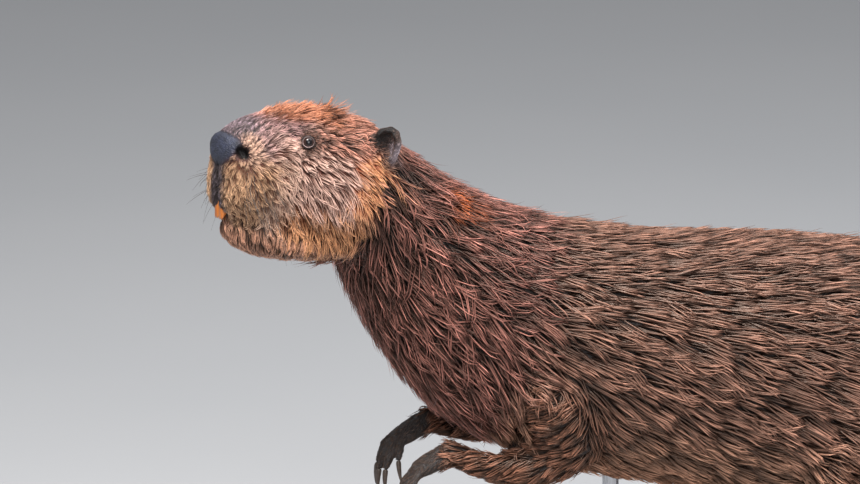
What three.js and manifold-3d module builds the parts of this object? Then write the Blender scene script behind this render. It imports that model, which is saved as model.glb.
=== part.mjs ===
// A North American beaver at life size, as it swims at the surface with its head raised, on a display stand.
// Millimetres, +Z up. The nose points towards -Y and the animal's left side towards +X.
import * as THREE from "three";
import Module from "manifold-3d";
import { mergeVertices } from "three/addons/utils/BufferGeometryUtils.js";

const wasm = await Module();
wasm.setup();

// ---------------------------------------------------------------- driving dimensions
const GAP = 0.4; // left between neighbouring solids
const WATERLINE = 350; // height at which the water would stand round the swimming animal
const HEAD_YAW = THREE.MathUtils.degToRad(20); // the head is turned to the left
const HEAD_PITCH = THREE.MathUtils.degToRad(10); // and the nose is lifted
const NOSE_TIP = new THREE.Vector3(62, -432, WATERLINE + 85);
const HEAD_END = 135; // from the nose tip back to the nape
const NECK_END = 260; // the distances along the body at which its parts meet
const CHEST_END = 400;
const TRUNK_END = 700;
const TAIL_BASE_END = 775;
const TAIL_END = 1058;
const EYE = { back: 62, side: 33.6, rise: 15, radius: 6 };
const EAR = { back: 126, side: 47, rise: 18, halfWidth: 12.5, halfDepth: 8.5, halfHeight: 20, wall: 2.4 };
const NOSE = { halfWidth: 21, above: 13.5, below: 13, depth: 14.5 };
const BASE = { length: 430, width: 230, thickness: 18, corner: 24, centre: 35 };
const ROD = { radius: 7, top: WATERLINE - 150, front: -95, rear: 165 };

const FUR = { color: 0x6b4630, roughness: 0.8, metalness: 0 };
const SKIN = { color: 0x2f2a2c, roughness: 0.6, metalness: 0 };
const HORN = { color: 0x3a302b, roughness: 0.45, metalness: 0 };
const ENAMEL = { color: 0xc8702a, roughness: 0.35, metalness: 0 };
const EYEBALL = { color: 0x120c0a, roughness: 0.08, metalness: 0 };
const BOARD = { color: 0x4a3526, roughness: 0.5, metalness: 0 };
const STEEL = { color: 0x8c8f92, roughness: 0.3, metalness: 1 };

// ---------------------------------------------------------------- solids and cuts
// A closed geometry with its shared vertices merged.
function bare(geometry) {
  const copy = geometry.clone();
  copy.deleteAttribute("normal");
  copy.deleteAttribute("uv");
  return mergeVertices(copy, 1e-4);
}

function solidOf(geometry) {
  const merged = bare(geometry);
  const vertProperties = new Float32Array(merged.attributes.position.array);
  const triVerts = new Uint32Array(merged.index.array);
  return new wasm.Manifold(new wasm.Mesh({ numProp: 3, vertProperties, triVerts }));
}

// The largest body of a solid, as a geometry: crumbs that a cut leaves are dropped.
function geometryOf(solid) {
  const bodies = solid.decompose().sort((a, b) => b.volume() - a.volume());
  const mesh = bodies[0].getMesh();
  const geometry = new THREE.BufferGeometry();
  geometry.setAttribute("position", new THREE.BufferAttribute(mesh.vertProperties, 3));
  return geometry.setIndex(new THREE.BufferAttribute(mesh.triVerts, 1));
}

// The same shape with each vertex moved out along its normal.
function swollen(geometry, by) {
  const grown = bare(geometry);
  grown.computeVertexNormals();
  const { position, normal } = grown.attributes;
  for (let i = 0; i < position.count; i++) {
    const place = new THREE.Vector3().fromBufferAttribute(position, i);
    place.addScaledVector(new THREE.Vector3().fromBufferAttribute(normal, i), by);
    position.setXYZ(i, place.x, place.y, place.z);
  }
  return grown;
}

function worldSolid(mesh, geometry) {
  mesh.updateWorldMatrix(true, false);
  return solidOf(geometry.clone().applyMatrix4(mesh.matrixWorld));
}

// Cuts other meshes out of this one, leaving the gap. Each cuts with the shape it had before its own cuts.
function fitAround(mesh, ...others) {
  let left = worldSolid(mesh, mesh.geometry);
  others.forEach((other) => {
    left = left.subtract(worldSolid(other, swollen(other.userData.whole, GAP)));
  });
  mesh.geometry = geometryOf(left).applyMatrix4(mesh.matrixWorld.clone().invert());
}

// Takes a shape out of a mesh for good.
function hollow(mesh, geometry) {
  mesh.geometry = geometryOf(solidOf(mesh.geometry).subtract(solidOf(geometry)));
  mesh.userData.whole = mesh.geometry;
}

function joined(...geometries) {
  return geometryOf(geometries.map(solidOf).reduce((all, one) => all.add(one)));
}

// ---------------------------------------------------------------- lofted shapes
// Reads a table of rows by its first column: a smooth curve through each other column, with no overshoot.
function readTable(table, at) {
  const last = table.length - 1;
  const clamped = Math.min(Math.max(at, table[0][0]), table[last][0]);
  let i = 0;
  while (i < last - 1 && clamped > table[i + 1][0]) i++;
  const step = table[i + 1][0] - table[i][0];
  const t = (clamped - table[i][0]) / step;
  const slope = (k, column) => {
    if (k === 0 || k === last) return 0;
    const before = (table[k][column] - table[k - 1][column]) / (table[k][0] - table[k - 1][0]);
    const after = (table[k + 1][column] - table[k][column]) / (table[k + 1][0] - table[k][0]);
    return before * after <= 0 ? 0 : (2 * before * after) / (before + after);
  };
  return table[i].map((value, column) => {
    if (column === 0) return clamped;
    const next = table[i + 1][column];
    const [m0, m1] = [slope(i, column) * step, slope(i + 1, column) * step];
    const t2 = t * t;
    const t3 = t2 * t;
    return (2 * t3 - 3 * t2 + 1) * value + (t3 - 2 * t2 + t) * m0 + (3 * t2 - 2 * t3) * next + (t3 - t2) * m1;
  });
}

// Distances from start to end in count steps.
function steps(start, end, count) {
  return Array.from({ length: count + 1 }, (_, i) => start + ((end - start) * i) / count);
}

// A closed skin over rings of points, each ring closed at the ends by a fan about its middle.
function loft(rings) {
  const around = rings[0].length;
  const middle = (ring) => ring.reduce((sum, p) => sum.add(p), new THREE.Vector3()).divideScalar(around);
  const points = [...rings.flat(), middle(rings[0]), middle(rings[rings.length - 1])];
  const first = rings.length * around;
  const index = [];
  for (let r = 0; r < rings.length - 1; r++) {
    for (let i = 0; i < around; i++) {
      const [a, b] = [r * around + i, r * around + ((i + 1) % around)];
      index.push(a, a + around, b, b, a + around, b + around);
    }
  }
  for (let i = 0; i < around; i++) {
    const end = (rings.length - 1) * around;
    const next = (i + 1) % around;
    index.push(first, i, next, first + 1, end + next, end + i);
  }
  const geometry = new THREE.BufferGeometry().setFromPoints(points).setIndex(index);
  if (solidOf(geometry).volume() < 0) index.reverse();
  return geometry.setIndex(index);
}

// An oval with its own height above and below the middle. Square over 2 flattens its sides, pear widens it
// low down.
function oval(place, size, around) {
  const { centre, side, up } = place;
  const { width, above, below, square = 2, pear = 0 } = size;
  return Array.from({ length: around }, (_, i) => {
    const angle = (2 * Math.PI * i) / around;
    const [c, s] = [Math.cos(angle), Math.sin(angle)];
    const out = width * Math.sign(c) * Math.abs(c) ** (2 / square) * (1 - pear * s);
    const rise = (s > 0 ? above : below) * Math.sign(s) * Math.abs(s) ** (2 / square);
    return centre.clone().addScaledVector(side, out).addScaledVector(up, rise);
  });
}

// A limb: ovals along a smooth line through the points. Sizes are [half width, half thickness] at each point.
function limb(points, sizes, around, count, sideways) {
  const line = new THREE.CatmullRomCurve3(points.map((p) => new THREE.Vector3(...p)));
  const table = sizes.map((size, i) => [i / (sizes.length - 1), ...size]);
  const rings = steps(0, 1, count).map((t) => {
    const forward = line.getTangent(t);
    const up = new THREE.Vector3().crossVectors(forward, sideways).normalize();
    const side = new THREE.Vector3().crossVectors(up, forward).normalize();
    const [, width, thick] = readTable(table, t);
    return oval({ centre: line.getPoint(t), side, up }, { width, above: thick, below: thick }, around);
  });
  return loft(rings);
}

function ellipsoid(x, y, z, across = 16, down = 10) {
  return new THREE.SphereGeometry(1, across, down).scale(x, y, z);
}

function add(parent, name, geometry, finish, place = [0, 0, 0], turn = [0, 0, 0]) {
  const mesh = new THREE.Mesh(geometry, new THREE.MeshStandardMaterial(finish));
  mesh.name = name;
  mesh.position.set(...place);
  mesh.rotation.set(...turn, "ZYX");
  mesh.userData.whole = geometry;
  parent.add(mesh);
  return mesh;
}

const SIDES = [
  ["left", 1],
  ["right", -1],
];

const animal = new THREE.Group();

// ---------------------------------------------------------------- head, in its own frame
// Its origin is the nose tip, +Y runs back along the skull, +X to the left.
const headGroup = new THREE.Group();
headGroup.position.copy(NOSE_TIP);
headGroup.rotation.set(-HEAD_PITCH, 0, HEAD_YAW, "ZYX");
animal.add(headGroup);

// Back from the nose tip, half width, top, bottom, squareness, pear. The muzzle is blunt and deep and the
// cheeks are broad.
const HEAD_TABLE = [
  [1.6, 10, 4, -36, 2.4, 0.1],
  [3, 17, 10, -44, 2.5, 0.16],
  [6, 23, 15.6, -50, 2.5, 0.18],
  [12, 28.5, 20.4, -52.5, 2.45, 0.2],
  [20, 32, 25.6, -53, 2.35, 0.2],
  [32, 34.5, 31.6, -53.5, 2.25, 0.19],
  [45, 38, 36.6, -56, 2.2, 0.17],
  [60, 43.5, 40, -63, 2.2, 0.16],
  [78, 51, 41.5, -70, 2.15, 0.16],
  [95, 56.5, 39.5, -75, 2.1, 0.15],
  [115, 59.5, 37, -79, 2.05, 0.13],
  [HEAD_END, 61, 33.5, -81, 2, 0.1],
];
const MUZZLE_LEAN = 0.09; // drawn back per millimetre below the nose, fading out behind
const MUZZLE_END = 45;
const LEFTWARD = new THREE.Vector3(1, 0, 0);
const UPWARD = new THREE.Vector3(0, 0, 1);

// An oval across the head, given its top and bottom.
function headOval(back, top, bottom, size, around) {
  const half = (top - bottom) / 2;
  const place = { centre: new THREE.Vector3(0, back, (top + bottom) / 2), side: LEFTWARD, up: UPWARD };
  return oval(place, { ...size, above: half, below: half }, around);
}

function headRing(back) {
  const [, width, top, bottom, square, pear] = readTable(HEAD_TABLE, back);
  const lean = MUZZLE_LEAN * Math.max(0, 1 - back / MUZZLE_END);
  const ring = headOval(back, top, bottom, { width, square, pear }, 24);
  ring.forEach((point) => {
    point.y += lean * Math.max(0, -point.z);
  });
  return ring;
}

const headMarks = [1.6, 3, 5, 8, 12.5, 18.5, 26, ...steps(35, HEAD_END, 8)];
const head = add(headGroup, "head", loft(headMarks.map(headRing)), FUR);

// The bare nose pad: back from its front, and the share of its full width and height there.
const NOSE_TABLE = [
  [-0.6, 0.42, 0.5],
  [1.2, 0.7, 0.82],
  [4.5, 0.9, 0.96],
  [9, 1, 1],
  [NOSE.depth, 1.02, 1],
];
const noseRings = NOSE_TABLE.map(([back, wide, high]) => {
  const size = { width: NOSE.halfWidth * wide, square: 2.5, pear: -0.08 };
  return headOval(back, NOSE.above * high, -NOSE.below * high, size, 16);
});
const nose = add(headGroup, "nose", loft(noseRings), SKIN);
SIDES.forEach(([, way]) => {
  hollow(nose, ellipsoid(4.4, 4, 4.4, 7, 5).translate(way * (NOSE.halfWidth + 1), 10.5, 1));
});

// The lower jaw, almost closed against the muzzle: back from the nose tip, half width, top and bottom.
const JAW_TABLE = [
  [15, 8, -57, -66],
  [19, 14, -56, -73],
  [28, 20, -55, -79],
  [43, 27, -53, -84],
  [62, 34, -52, -86],
  [88, 40, -52, -85],
  [118, 43, -54, -81],
];
const jawRings = [15, 17, 22, 32, 46, 64, 88, 118].map((back) => {
  const [, width, top, bottom] = readTable(JAW_TABLE, back);
  return headOval(back, top, bottom, { width, square: 2.2 }, 14);
});
const jaw = add(headGroup, "jaw", loft(jawRings), FUR);

// The mouth behind the two hanging flaps of the upper lip, and the cleft between the flaps.
hollow(head, ellipsoid(11.5, 30, 9.5, 10, 6).translate(0, 22, -56));
hollow(head, ellipsoid(3.2, 12, 16, 8, 8).translate(0, 2, -49));

// Four chisel incisors, each a curved band with a bevelled edge.
function incisor(length, width, thick, bend) {
  const shape = new THREE.Shape();
  shape.moveTo(0, 0);
  shape.quadraticCurveTo(-bend, -length * 0.55, 0, -length);
  shape.lineTo(thick, -length * 0.8);
  shape.quadraticCurveTo(thick - bend * 0.8, -length * 0.45, thick, 0);
  const options = { depth: width, bevelEnabled: false, curveSegments: 3 };
  const band = new THREE.ExtrudeGeometry(shape, options).translate(0, 0, -width / 2);
  return band.rotateX(Math.PI / 2).rotateZ(Math.PI / 2);
}
const upperTeeth = SIDES.map(([name, way]) =>
  add(headGroup, `incisor_upper_${name}`, incisor(18, 6.4, 6, 3.5), ENAMEL, [way * 3.5, 10, -38.5]),
);
const lowerTeeth = SIDES.map(([name, way]) =>
  add(headGroup, `incisor_lower_${name}`, incisor(-18, 5.2, 5, 2.5), ENAMEL, [way * 2.85, 18.5, -67]),
);

const eyes = SIDES.map(([name, way]) =>
  add(headGroup, `eye_${name}`, ellipsoid(EYE.radius, EYE.radius, EYE.radius, 8, 6), EYEBALL, [
    way * EYE.side,
    EYE.back,
    EYE.rise,
  ]),
);

// A small round ear: a cup that opens forwards and outwards.
function earCup() {
  const { halfWidth, halfDepth, halfHeight, wall } = EAR;
  const outside = ellipsoid(halfWidth, halfDepth, halfHeight, 10, 8);
  const inside = ellipsoid(halfWidth - wall, halfDepth - 1, halfHeight - wall, 8, 6);
  inside.translate(0, -wall * 1.6, 0);
  return geometryOf(solidOf(outside).subtract(solidOf(inside)));
}
const ears = SIDES.map(([name, way]) => {
  const place = [way * EAR.side, EAR.back, EAR.rise];
  return add(headGroup, `ear_${name}`, earCup(), SKIN, place, [0.3, way * 0.42, way * 0.75]);
});

fitAround(head, nose, ...eyes);
fitAround(jaw, head);
upperTeeth.forEach((tooth) => fitAround(tooth, head, jaw));
lowerTeeth.forEach((tooth) => fitAround(tooth, head, jaw, ...upperTeeth));
ears.forEach((ear) => fitAround(ear, head));

// ---------------------------------------------------------------- neck, trunk and tail
// Along the body, centre x, y and z from the waterline, half width, above, below, pitch in degrees,
// squareness, pear.
const nape = new THREE.Vector3(0, HEAD_END + GAP, -23.5);
headGroup.updateMatrix();
nape.applyMatrix4(headGroup.matrix);
const BODY_TABLE = [
  [HEAD_END, nape.x, nape.y, nape.z - WATERLINE, 61, 57.5, 57.5, 10, 2, 0.1],
  [160, 8, -285, 21, 70, 48, 74, 31, 2, 0.08],
  [205, 3, -240, -26, 87, 63, 98, 28, 2, 0.06],
  [NECK_END, 0, -192, -63, 103, 79, 114, 18, 2, 0.06],
  [330, 0, -130, -94, 114, 95, 113, 9, 2.05, 0.07],
  [CHEST_END, 0, -60, -112, 122, 102, 111, 5, 2.1, 0.08],
  [480, 0, 20, -127, 129, 112, 113, 4, 2.15, 0.08],
  [560, 0, 100, -139, 133, 116, 113, 3, 2.15, 0.07],
  [630, 0, 170, -147, 128, 107, 100, 2, 2.1, 0.04],
  [TRUNK_END, 0, 236, -154, 101, 82, 76, 0, 2, 0],
  [740, 0, 275, -159, 73, 57, 52, 0, 2, 0],
  [TAIL_BASE_END, 0, 310, -163, 50, 37, 34, 0, 2, 0],
  [810, -1, 345, -167, 41, 21, 19, 0, 2.05, 0],
  [865, -4, 402, -172, 53, 12.5, 11, 0, 2.2, 0],
  [930, -8, 467, -175, 63, 9, 8, 0, 2.2, 0],
  [985, -13, 522, -174, 62, 7, 6.5, 0, 2.2, 0],
  [1025, -17, 562, -171, 51, 5.4, 5, 0, 2.2, 0],
  [1048, -19, 585, -169, 33, 4, 3.6, 0, 2.2, 0],
  [TAIL_END, -20, 595, -168, 9, 2, 1.9, 0, 2.2, 0],
];

// A stretch of the body between two distances. The head's turn fades out along the neck.
function stretch(marks, around) {
  const rings = marks.map((at) => {
    const [, x, y, z, width, above, below, pitch, square, pear] = readTable(BODY_TABLE, at);
    const tilt = THREE.MathUtils.degToRad(pitch);
    const turn = HEAD_YAW * (1 - THREE.MathUtils.smoothstep(at, HEAD_END, NECK_END));
    const side = new THREE.Vector3(Math.cos(turn), Math.sin(turn), 0);
    const forward = new THREE.Vector3(side.y, -side.x, 0).multiplyScalar(Math.cos(tilt)).setZ(Math.sin(tilt));
    const up = new THREE.Vector3().crossVectors(forward, side);
    const place = { centre: new THREE.Vector3(x, y, WATERLINE + z), side, up };
    return oval(place, { width, above, below, square, pear }, around);
  });
  return loft(rings);
}

const BODY_AROUND = 24;
const TAIL_AROUND = 16;
const neck = add(animal, "neck", stretch(steps(HEAD_END + GAP, NECK_END - GAP, 6), BODY_AROUND), FUR);
const chest = add(animal, "chest", stretch(steps(NECK_END, CHEST_END - GAP, 5), BODY_AROUND), FUR);
const trunk = add(animal, "trunk", stretch(steps(CHEST_END, TRUNK_END - GAP, 9), BODY_AROUND), FUR);
add(animal, "tail_base", stretch(steps(TRUNK_END, TAIL_BASE_END - GAP, 4), BODY_AROUND), FUR);
add(animal, "tail", stretch([...steps(TAIL_BASE_END, 1025, 8), 1040, 1051, TAIL_END], TAIL_AROUND), SKIN);
ears.forEach((ear) => fitAround(ear, neck));

// ---------------------------------------------------------------- paws
// In a paw's own frame +Y runs to the toes and +Z is the back of the paw. The sole is [distance along, half
// width, half thickness], digits are [angle in degrees, length, radius] from the inner one to the outer one,
// and a claw is [length, radius, how far it curves].
const HIND_FOOT = {
  sole: [[-8, 13, 14], [18, 17, 14], [48, 24, 10.5], [76, 27, 7]],
  root: 66,
  spread: 10.5,
  digits: [[-27, 60, 5.6], [-13, 77, 6.2], [0, 84, 6.4], [13, 77, 6.4], [27, 64, 6]],
  bend: 0.12,
  claw: [17, 3.6, 0.3],
  web: 2.4,
};
const FORE_PAW = {
  sole: [[-6, 9, 9.5], [8, 12, 9], [22, 15, 8], [34, 14, 6]],
  root: 29,
  spread: 5.6,
  digits: [[-38, 17, 3.6], [-14, 26, 4.1], [0, 28, 4.2], [13, 26, 4.1], [32, 21, 3.8]],
  bend: 0.5,
  claw: [14, 2.6, 0.45],
};
const CLAW_GAP = 0.6;

// Where the digits lie. Way is 1 or -1 and mirrors the paw.
function digitLines({ digits, spread, root, bend }, way) {
  return digits.map(([angle, length, radius], i) => {
    const turn = way * THREE.MathUtils.degToRad(angle);
    const along = new THREE.Vector3(Math.sin(turn), Math.cos(turn), 0);
    const start = new THREE.Vector3(way * (i - 2) * spread, root, 0);
    const at = (share) => {
      const place = start.clone().addScaledVector(along, length * share);
      place.z -= bend * length * share * Math.abs(share);
      return place;
    };
    return { at, along, side: new THREE.Vector3(along.y, -along.x, 0), radius };
  });
}

function digit({ at, radius, side }) {
  const sizes = [1, 0.95, 1.08, 0.62].map((share) => [radius * share, radius * share * 0.9]);
  return limb([-0.15, 0.25, 0.7, 1].map((share) => at(share).toArray()), sizes, 6, 3, side);
}

// A thin skin between the toes, scalloped at its edge.
function webBetween(lines, thickness) {
  const shape = new THREE.Shape();
  const ends = [lines[0], lines[lines.length - 1]].map(({ at }) => at(-0.2));
  shape.moveTo(ends[0].x, ends[0].y);
  lines.forEach(({ at }, i) => {
    const point = at(0.88);
    const between = i ? at(0.76).lerp(lines[i - 1].at(0.76), 0.5) : point;
    shape.quadraticCurveTo(between.x, between.y, point.x, point.y);
  });
  shape.lineTo(ends[1].x, ends[1].y);
  const options = { depth: thickness, bevelEnabled: false, curveSegments: 2 };
  return new THREE.ExtrudeGeometry(shape, options).translate(0, 0, -thickness / 2);
}

function claw({ at, along, side, radius }, length, thick, curve) {
  const start = at(1);
  const slope = start.clone().sub(at(0.97)).normalize();
  start.addScaledVector(slope, CLAW_GAP);
  const place = (share) => {
    const point = start.clone().addScaledVector(slope, length * share);
    return point.addScaledVector(UPWARD, -curve * length * share * share).toArray();
  };
  const sizes = [1, 0.85, 0.12].map((share) => [Math.min(thick, radius * 0.6) * share, thick * share]);
  return limb([0, 0.5, 1].map(place), sizes, 5, 3, side);
}

// Adds a paw and its five claws to a placed group. The paw is cut to meet the limb above it.
function addPaw(group, label, kind, way, above) {
  animal.add(group);
  const lines = digitLines(kind, way);
  const sole = kind.sole.map(([along]) => [0, along, 0]);
  const sizes = kind.sole.map(([, width, thick]) => [width, thick]);
  const pieces = [limb(sole, sizes, 10, 3, LEFTWARD), ...lines.map(digit)];
  if (kind.web) pieces.push(webBetween(lines, kind.web));
  const mesh = add(group, label, joined(...pieces), SKIN);
  fitAround(mesh, above);
  lines.forEach((line, i) => add(group, `claw_${label}_${i + 1}`, claw(line, ...kind.claw), HORN));
}

// ---------------------------------------------------------------- legs
// Points run down each leg as side, back and height from the waterline, with half widths and thicknesses.
const UPPER_ARM = {
  line: [[60, -166, -84], [88, -158, -132], [90, -138, -176]],
  sizes: [[26, 32], [30, 34], [18, 20]],
};
const FOREARM = {
  line: [[87, -134, -168], [82, -168, -187], [68, -206, -190], [53, -240, -178]],
  sizes: [[17, 18], [18, 18], [14.5, 14], [10.5, 10]],
};
const FORE_PAW_TURN = { down: 0.5, inwards: 0.12 };

function legPart({ line, sizes }, way, around, count) {
  const points = line.map(([side, back, rise]) => [way * side, back, WATERLINE + rise]);
  return limb(points, sizes, around, count, LEFTWARD);
}

// The forelegs are folded under the chest, as a swimming beaver carries them.
SIDES.forEach(([name, way]) => {
  const shape = joined(legPart(UPPER_ARM, way, 12, 5), legPart(FOREARM, way, 10, 5));
  const foreleg = add(animal, `foreleg_${name}`, shape, FUR);
  fitAround(foreleg, chest, neck);
  const [side, back, rise] = FOREARM.line[3];
  const group = new THREE.Group();
  group.position.set(way * side, back, WATERLINE + rise);
  group.rotation.set(-FORE_PAW_TURN.down, 0, Math.PI - way * FORE_PAW_TURN.inwards, "ZYX");
  addPaw(group, `forepaw_${name}`, FORE_PAW, -way, foreleg);
});

// The hind legs paddle in turn: the left one ends its stroke, the right one is lower and further forward.
const HIND_POSES = {
  left: { knee: [106, 74, -206], ankle: [104, 214, -210], down: 0.3, outwards: 0.12 },
  right: { knee: [106, 60, -208], ankle: [104, 186, -238], down: 0.62, outwards: 0.08 },
};
const HIP = [92, 172, -138];
const THIGH = { halfWidth: 51, halfDepth: 70, lengthShare: 0.74 };
const SHANK = { sizes: [[24, 26], [30, 33], [21, 22], [14, 15]], kneeRise: 12 };

function hindLegShape({ knee, ankle }, way) {
  const [kneePoint, anklePoint, hip] = [knee, ankle, HIP].map(([side, back, rise]) =>
    new THREE.Vector3(way * side, back, WATERLINE + rise),
  );
  const down = kneePoint.clone().sub(hip);
  const thigh = ellipsoid(THIGH.halfWidth, down.length() * THIGH.lengthShare, THIGH.halfDepth, 14, 10);
  const middle = hip.clone().lerp(kneePoint, 0.45);
  thigh.rotateX(Math.atan2(-down.z, -down.y)).translate(middle.x, middle.y, middle.z);
  const line = [0, 0.33, 0.7, 1].map((share) => kneePoint.clone().lerp(anklePoint, share));
  line[0].z += SHANK.kneeRise;
  return joined(thigh, limb(line.map((point) => point.toArray()), SHANK.sizes, 12, 5, LEFTWARD));
}

SIDES.forEach(([name, way]) => {
  const pose = HIND_POSES[name];
  const leg = add(animal, `hind_leg_${name}`, hindLegShape(pose, way), FUR);
  fitAround(leg, trunk);
  const [side, back, rise] = pose.ankle;
  const group = new THREE.Group();
  group.position.set(way * side, back, WATERLINE + rise);
  group.rotation.set(-pose.down, Math.PI, -way * pose.outwards, "ZXY");
  addPaw(group, `hind_foot_${name}`, HIND_FOOT, -way, leg);
});

// ---------------------------------------------------------------- stand
function roundedBoard({ length, width, thickness, corner }) {
  const [x, y] = [width / 2 - corner, length / 2 - corner];
  const shape = new THREE.Shape();
  shape.absarc(x, -y, corner, -Math.PI / 2, 0);
  shape.absarc(x, y, corner, 0, Math.PI / 2);
  shape.absarc(-x, y, corner, Math.PI / 2, Math.PI);
  shape.absarc(-x, -y, corner, Math.PI, 1.5 * Math.PI);
  return new THREE.ExtrudeGeometry(shape, { depth: thickness, bevelEnabled: false, curveSegments: 4 });
}
add(animal, "stand_base", roundedBoard(BASE), BOARD, [0, BASE.centre, 0]);

["front", "rear"].forEach((name) => {
  const low = BASE.thickness + GAP;
  const shape = new THREE.CylinderGeometry(ROD.radius, ROD.radius, ROD.top - low, 12).rotateX(Math.PI / 2);
  const rod = add(animal, `stand_rod_${name}`, shape, STEEL, [0, ROD[name], (ROD.top + low) / 2]);
  fitAround(rod, chest, trunk);
});

// The origin is on the floor, under the middle of the whole object.
const box = new THREE.Box3().setFromObject(animal, true);
const middle = box.getCenter(new THREE.Vector3());
animal.position.set(-middle.x, -middle.y, -box.min.z);

const beaver = new THREE.Group();
beaver.add(animal);
export default beaver;
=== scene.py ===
"""A wet North American beaver on its display stand: one skin over the whole animal, a coat of mesh tufts that
follows the lie of the fur, a scaly tail, eyes, teeth and claws. Lengths are in metres."""
import math

import bmesh
import bpy
import numpy as np
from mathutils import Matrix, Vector
from mathutils.bvhtree import BVHTree
from mathutils.kdtree import KDTree


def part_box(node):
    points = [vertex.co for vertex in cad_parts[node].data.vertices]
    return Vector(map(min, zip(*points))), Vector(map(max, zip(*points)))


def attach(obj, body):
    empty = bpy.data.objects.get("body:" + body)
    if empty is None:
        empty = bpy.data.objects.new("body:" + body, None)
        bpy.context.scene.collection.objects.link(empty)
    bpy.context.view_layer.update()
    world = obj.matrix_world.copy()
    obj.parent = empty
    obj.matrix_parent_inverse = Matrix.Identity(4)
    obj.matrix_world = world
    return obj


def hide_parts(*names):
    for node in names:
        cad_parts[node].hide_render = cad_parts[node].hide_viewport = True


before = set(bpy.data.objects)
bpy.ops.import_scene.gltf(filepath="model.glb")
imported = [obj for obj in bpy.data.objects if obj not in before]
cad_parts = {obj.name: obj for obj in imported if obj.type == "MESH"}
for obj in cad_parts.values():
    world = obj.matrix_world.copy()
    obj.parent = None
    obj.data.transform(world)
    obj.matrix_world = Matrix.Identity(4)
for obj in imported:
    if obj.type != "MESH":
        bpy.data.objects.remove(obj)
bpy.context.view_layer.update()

MM = 0.001
TURN = 6.283  # radians, about once round
SIDES = {"left": 1, "right": -1}
HEAD_YAW, HEAD_PITCH = math.radians(20), math.radians(10)  # the head is turned left and its nose lifted
HEAD_REACH = 150  # mm back from the nose tip: nothing is sculpted further back
EYE_BACK, EYE_RISE = 62 * MM, 15 * MM  # from the nose tip to the line between the eyes
EYE_RADIUS = 6 * MM
EYE_OPENING = (4.5, 3.9)  # mm, half its length and half its height
EYE_CLEAR = 4 * MM  # tufts are short enough to stay this far from the middle of the eye
EAR_CLEAR = 9 * MM  # and so far from the middle of the ear, in front of it
EAR_BACK = 124 * MM  # from the nose tip
LID_EDGE = 6 * MM  # no tuft is rooted this near the middle of the eye
LID_PEBBLES = 0.15  # share of the bare skin's relief on the lids
# Across a lid from its edge outwards: degrees round the eyeball, height over it in mm, and how pale it is.
LID_SECTION = [
    (0, 0.1, 0.8), (1.5, 0.4, 0.9), (5, 0.6, 0.25), (9, 0.4, 0), (14, 0.6, 0),
    (22, 0.4, 0), (32, -0.3, 0), (40, -1.5, 0), (4, -0.8, 0),
]
NOSTRIL = (10.6, 1.2)  # mm back and up from the nose tip, on both sides
NOSTRIL_EDGE = 5.2  # mm from its axis
MOUTH, MOUTH_SIZE = (0, 20 * MM, -55 * MM), (14 * MM, 33 * MM, 17 * MM)  # the hollow behind the lips
UPPER_TOOTH, LOWER_TOOTH, TOOTH_THICKNESS, TOOTH_BOW = 19, 10, 5.4, 1.8  # mm
RUST = (188, -14)  # mm back and up on the neck, in the head's frame
WHISKERS, WHISKER_COLUMNS = 26, 6  # on each side
SCALE_LENGTH, SCALE_WIDTH, SCALE_HEIGHT = 5.4 * MM, 4.4 * MM, 0.55 * MM
# A rod's collar: mm out from the rod's axis and up from the board.
COLLAR = [(6.2, -1), (17, -1), (17, 2.5), (15.5, 4), (11.5, 5), (10.2, 9), (9, 10.5), (6.2, 10.5)]

FLESH = ["head", "jaw", "nose", "ear_left", "ear_right", "neck", "chest", "trunk", "tail_base", "tail"]
FLESH += [f"{part}_{side}" for part in ("foreleg", "forepaw", "hind_leg", "hind_foot") for side in SIDES]
COARSE = ["neck", "chest", "trunk", "tail_base", "tail", "foreleg", "hind_leg", "hind_foot"]

BODY_VOXEL, SKIN_VOXEL = 6 * MM, 1.35 * MM
SKIN_FACES = 190000
TUFTS = 1.0  # share of the tufts that grow
PIECE_TUFTS = 8500  # at most, in one piece of the coat
STEPS = np.array([0, 0.3, 0.55, 0.78, 1])  # along a tuft, from its root to its tip
FULLNESS = np.array([0.7, 1, 0.92, 0.66, 0])  # share of its width at each step
RISE = np.array([-0.06, 0.55, 0.84, 0.95, 1])  # share of the coat's depth that it reaches
ALL_STEPS, FEW_STEPS = [0, 1, 2, 3, 4], [0, 1, 3, 4]  # kept in the tufts of the head, and in all others
STRAYS = 0.02  # share of the tufts that stand away from the coat
SHORTEST = 1.5 * MM  # where a tuft would be shorter, none grows
PATCH = 0.003  # share of the map's side that a tuft or a scale takes
PALEST = 0.9  # no channel of a tuft's colour is brighter
WARM_TINT = (1.0, 0.78, 0.64, 1.0)  # of the light on wet fur
# Height on the head in mm: how many degrees downward the coat lies.
DROOP = [(-80, 88), (-50, 76), (-25, 58), (0, 41), (20, 24), (35, 10)]
# Along the body in metres: how much the coat lies upwards for each step backwards.
BACK_SLOPE = [(-0.37, -0.95), (-0.27, -0.55), (-0.2, -0.3), (-0.1, -0.18), (0.1, -0.13), (0.3, -0.05)]

VIEW_AZIMUTH, VIEW_ELEVATION = 80, 13
VIEW_DISTANCE, VIEW_WIDTH = 4.0, 0.688  # the width that the frame spans at the eye
EYE_IN_FRAME = (-0.1426, 0.1155)  # the eye from the middle of the frame, as shares of its width
SENSOR = 36.0
FLOOR_HALF = 25.0

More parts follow.
